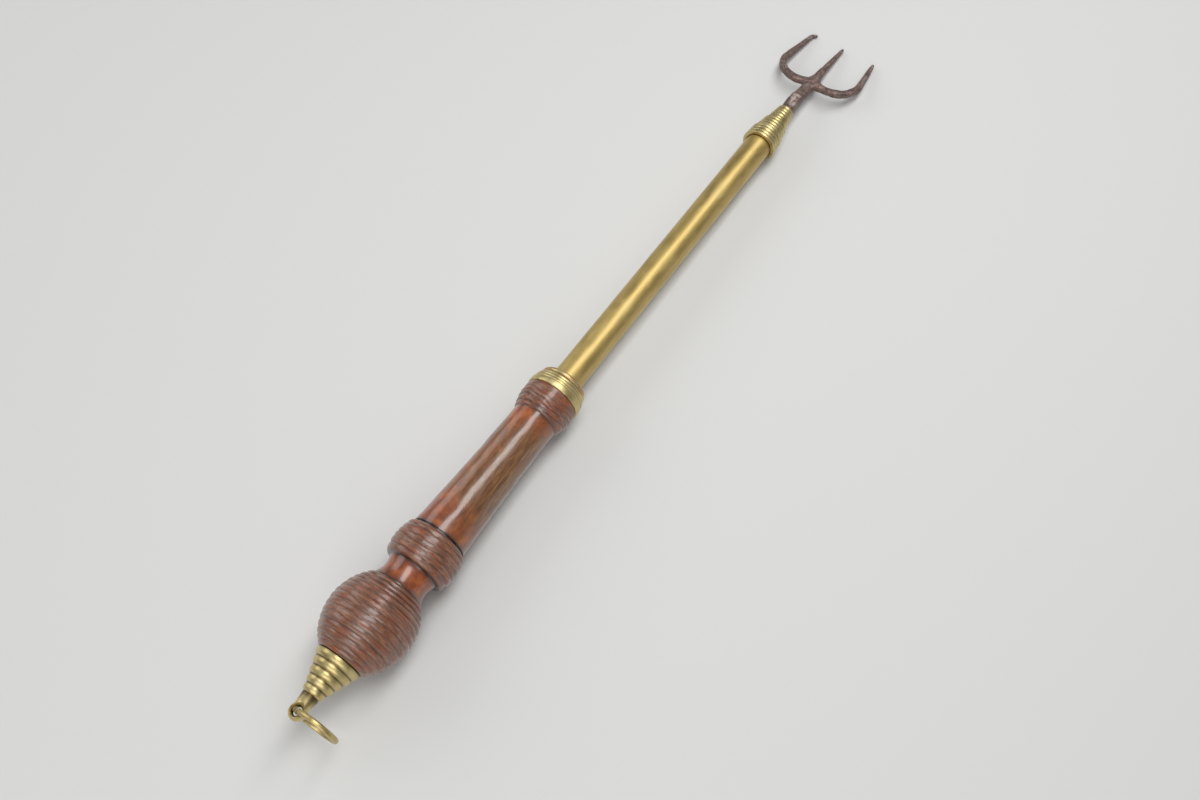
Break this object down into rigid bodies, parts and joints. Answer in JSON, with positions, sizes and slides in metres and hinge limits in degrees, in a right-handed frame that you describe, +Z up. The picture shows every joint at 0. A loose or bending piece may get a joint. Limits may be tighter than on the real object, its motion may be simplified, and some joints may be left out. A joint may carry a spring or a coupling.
{
  "type": "telescopic toasting fork",
  "caption": "Telescopic toasting fork with a turned wooden handle, brass tubes that draw out, a forged iron fork and a hanging ring.",
  "frame": {"origin": "under the middle of the closed fork, at the height of the surface that the ball of the handle rests on", "axes": "+X along the tubes towards the prongs, +Z up, +Y to the left"},
  "size_m": [0.4146, 0.043, 0.0346],
  "materials": {
    "ring_brass": "drawn brass wire, rubbed bright",
    "turned_brass": "turned brass, polished with dull grooves",
    "tube_brass": "satin drawn brass tube, aged golden",
    "draw_brass": "drawn brass tube, bright from sliding",
    "fitting_brass": "plain machined brass",
    "handle_wood": "turned hardwood, worn varnish",
    "rod_steel": "plain wrought rod",
    "fork_iron": "forged iron, brown patina"
  },
  "bodies": {
    "handle_assembly": {"handle": "handle_wood", "finial": "turned_brass", "tie_rod": "rod_steel", "ferrule": "turned_brass", "outer_tube": "tube_brass", "tube_plug": "fitting_brass", "outer_bush": "fitting_brass"},
    "first_slide": {"first_draw": "draw_brass", "first_collar": "fitting_brass", "first_bush": "fitting_brass"},
    "second_slide": {"second_draw": "draw_brass", "second_collar": "fitting_brass", "nose_cone": "turned_brass", "fork": "fork_iron", "fork_rivet": "rod_steel"},
    "ring": {"hanging_ring": "ring_brass"}
  },
  "joints": [
    {"name": "first_draw_slide", "type": "slide", "parent": "handle_assembly", "child": "first_slide", "axis": [1, 0, 0], "range_m": [0, 0.217]},
    {"name": "second_draw_slide", "type": "slide", "parent": "first_slide", "child": "second_slide", "axis": [1, 0, 0], "range_m": [0, 0.213]},
    {"name": "ring_swivel", "type": "hinge", "parent": "handle_assembly", "child": "ring", "pos_m": [-0.20375, 0, 0.0173], "axis": [0, 0, 1], "range_deg": [-200, 20]}
  ]
}
